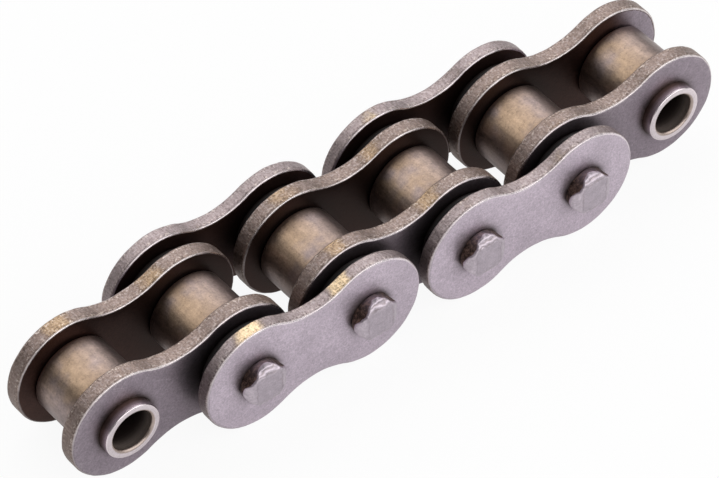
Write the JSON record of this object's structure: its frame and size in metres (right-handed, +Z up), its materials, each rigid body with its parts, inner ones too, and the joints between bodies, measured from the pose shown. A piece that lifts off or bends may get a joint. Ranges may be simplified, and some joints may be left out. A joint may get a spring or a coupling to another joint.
{
  "type": "motorcycle drive chain segment",
  "caption": "Segment of a sealed riveted roller chain: waisted inner and outer link plates, bushes, free rollers, staked pins and rubber seal rings, hinged at every pin.",
  "frame": {"origin": "under the middle of the chain, on the surface that the plates' lower edges stand on", "axes": "+X along the chain, +Y along the pins, away from the front side of the picture, +Z up"},
  "size_m": [0.094, 0.024, 0.0147],
  "materials": {
    "outer_plate": "shot-blasted matte steel with rolled edges",
    "inner_plate": "oiled matte steel, darker than the outer plates",
    "bush": "polished steel ends",
    "roller": "bronze-brown satin heat-treated steel",
    "pin": "satin steel with staked ends",
    "seal": "black greased rubber"
  },
  "bodies": {
    "inner_link_b": {"inner_plate_b_front": "inner_plate", "inner_plate_b_back": "inner_plate", "bush_3": "bush", "bush_4": "bush", "seal_3_front": "seal", "seal_3_back": "seal", "seal_4_front": "seal", "seal_4_back": "seal"},
    "outer_link_1": {"outer_plate_1_front": "outer_plate", "outer_plate_1_back": "outer_plate", "pin_2": "pin", "pin_3": "pin"},
    "inner_link_a": {"inner_plate_a_front": "inner_plate", "inner_plate_a_back": "inner_plate", "bush_1": "bush", "bush_2": "bush", "seal_2_front": "seal", "seal_2_back": "seal"},
    "outer_link_2": {"outer_plate_2_front": "outer_plate", "outer_plate_2_back": "outer_plate", "pin_4": "pin", "pin_5": "pin"},
    "inner_link_c": {"inner_plate_c_front": "inner_plate", "inner_plate_c_back": "inner_plate", "bush_5": "bush", "bush_6": "bush", "seal_5_front": "seal", "seal_5_back": "seal"},
    "roller_1": {"roller_1": "roller"},
    "roller_2": {"roller_2": "roller"},
    "roller_3": {"roller_3": "roller"},
    "roller_4": {"roller_4": "roller"},
    "roller_5": {"roller_5": "roller"},
    "roller_6": {"roller_6": "roller"}
  },
  "joints": [
    {"name": "pivot_3", "type": "hinge", "parent": "inner_link_b", "child": "outer_link_1", "pos_m": [-0.00794, 0, 0.00735], "axis": [0, 1, 0], "range_deg": [-90, 90]},
    {"name": "pivot_2", "type": "hinge", "parent": "outer_link_1", "child": "inner_link_a", "pos_m": [-0.02381, 0, 0.00735], "axis": [0, 1, 0], "range_deg": [-90, 90]},
    {"name": "pivot_4", "type": "hinge", "parent": "inner_link_b", "child": "outer_link_2", "pos_m": [0.00794, 0, 0.00735], "axis": [0, 1, 0], "range_deg": [-90, 90]},
    {"name": "pivot_5", "type": "hinge", "parent": "outer_link_2", "child": "inner_link_c", "pos_m": [0.02381, 0, 0.00735], "axis": [0, 1, 0], "range_deg": [-90, 90]},
    {"name": "roller_1_spin", "type": "hinge", "parent": "inner_link_a", "child": "roller_1", "pos_m": [-0.03969, 0, 0.00735], "axis": [0, 1, 0], "continuous": true},
    {"name": "roller_2_spin", "type": "hinge", "parent": "inner_link_a", "child": "roller_2", "pos_m": [-0.02381, 0, 0.00735], "axis": [0, 1, 0], "continuous": true},
    {"name": "roller_3_spin", "type": "hinge", "parent": "inner_link_b", "child": "roller_3", "pos_m": [-0.00794, 0, 0.00735], "axis": [0, 1, 0], "continuous": true},
    {"name": "roller_4_spin", "type": "hinge", "parent": "inner_link_b", "child": "roller_4", "pos_m": [0.00794, 0, 0.00735], "axis": [0, 1, 0], "continuous": true},
    {"name": "roller_5_spin", "type": "hinge", "parent": "inner_link_c", "child": "roller_5", "pos_m": [0.02381, 0, 0.00735], "axis": [0, 1, 0], "continuous": true},
    {"name": "roller_6_spin", "type": "hinge", "parent": "inner_link_c", "child": "roller_6", "pos_m": [0.03969, 0, 0.00735], "axis": [0, 1, 0], "continuous": true}
  ]
}
